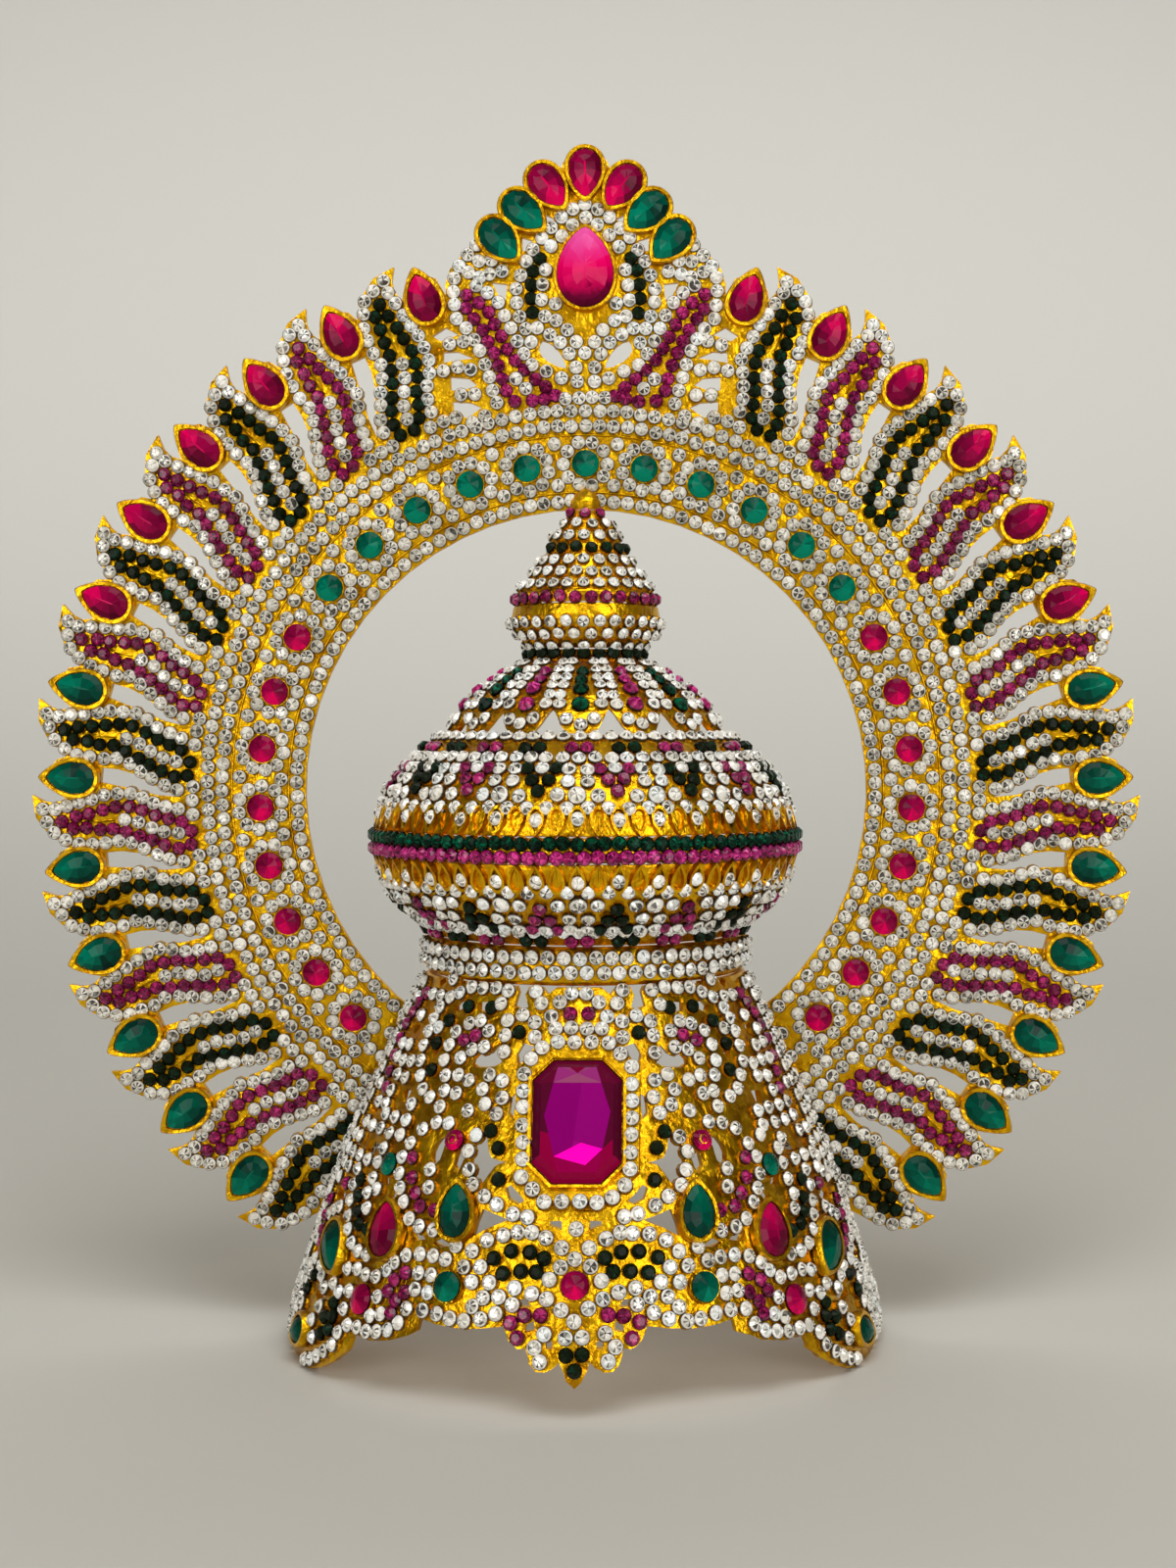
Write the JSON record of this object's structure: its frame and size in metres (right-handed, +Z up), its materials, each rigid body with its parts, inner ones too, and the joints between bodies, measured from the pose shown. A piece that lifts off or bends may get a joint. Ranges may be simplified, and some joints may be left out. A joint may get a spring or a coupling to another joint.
{
  "type": "deity crown",
  "caption": "Half-round temple crown: flared pierced base, ribbed bulb, petal dome and finial before a flaming horseshoe halo with a crest, set with glass stones.",
  "frame": {"origin": "centre of the underside of the whole crown, on the surface that it stands on", "axes": "+X to the right seen from the front, +Y to the back, +Z up along the crown's height; the jewelled front looks to -Y"},
  "size_m": [0.25, 0.0662, 0.2653],
  "materials": {
    "gold": "bright yellow gold plate over a rough casting",
    "ruby_glass": "polished, foil-backed",
    "green_glass": "polished, foil-backed",
    "pink_glass": "polished, foil-backed",
    "magenta_glass": "polished, step cut, foil-backed",
    "clear_glass": "clear foil-backed brilliants under 4 mm",
    "dark_green_glass": "dark green foil-backed brilliants under 4 mm",
    "violet_glass": "magenta foil-backed brilliants under 4 mm"
  },
  "bodies": {
    "root": {"halo_frame": "gold", "base_shell": "gold", "neck_band": "gold", "bulb_lower": "gold", "bulb_band": "gold", "bulb_upper": "gold", "petal_dome": "gold", "finial_collar": "gold", "finial_bulb": "gold", "finial_cone": "gold", "finial_tip": "gold", "halo_drop_left_1": "ruby_glass", "halo_drop_left_2": "ruby_glass", "halo_drop_left_3": "ruby_glass", "halo_drop_left_4": "ruby_glass", "halo_drop_left_5": "ruby_glass", "halo_drop_left_6": "ruby_glass", "halo_drop_left_7": "green_glass", "halo_drop_left_8": "green_glass", "halo_drop_left_9": "green_glass", "halo_drop_left_10": "green_glass", "halo_drop_left_11": "green_glass", "halo_drop_left_12": "green_glass", "halo_drop_left_13": "green_glass", "halo_drop_right_1": "ruby_glass", "halo_drop_right_2": "ruby_glass", "halo_drop_right_3": "ruby_glass", "halo_drop_right_4": "ruby_glass", "halo_drop_right_5": "ruby_glass", "halo_drop_right_6": "ruby_glass", "halo_drop_right_7": "green_glass", "halo_drop_right_8": "green_glass", "halo_drop_right_9": "green_glass", "halo_drop_right_10": "green_glass", "halo_drop_right_11": "green_glass", "halo_drop_right_12": "green_glass", "halo_drop_right_13": "green_glass", "crest_drop_1": "ruby_glass", "crest_drop_2": "ruby_glass", "crest_drop_3": "ruby_glass", "crest_drop_4": "green_glass", "crest_drop_5": "green_glass", "crest_drop_6": "green_glass", "crest_drop_7": "green_glass", "crest_stone": "pink_glass", "octagon_stone": "magenta_glass", "base_drop_left_1": "green_glass", "base_drop_left_2": "ruby_glass", "base_drop_left_3": "green_glass", "base_drop_right_1": "green_glass", "base_drop_right_2": "ruby_glass", "base_drop_right_3": "green_glass"}
  },
  "joints": []
}
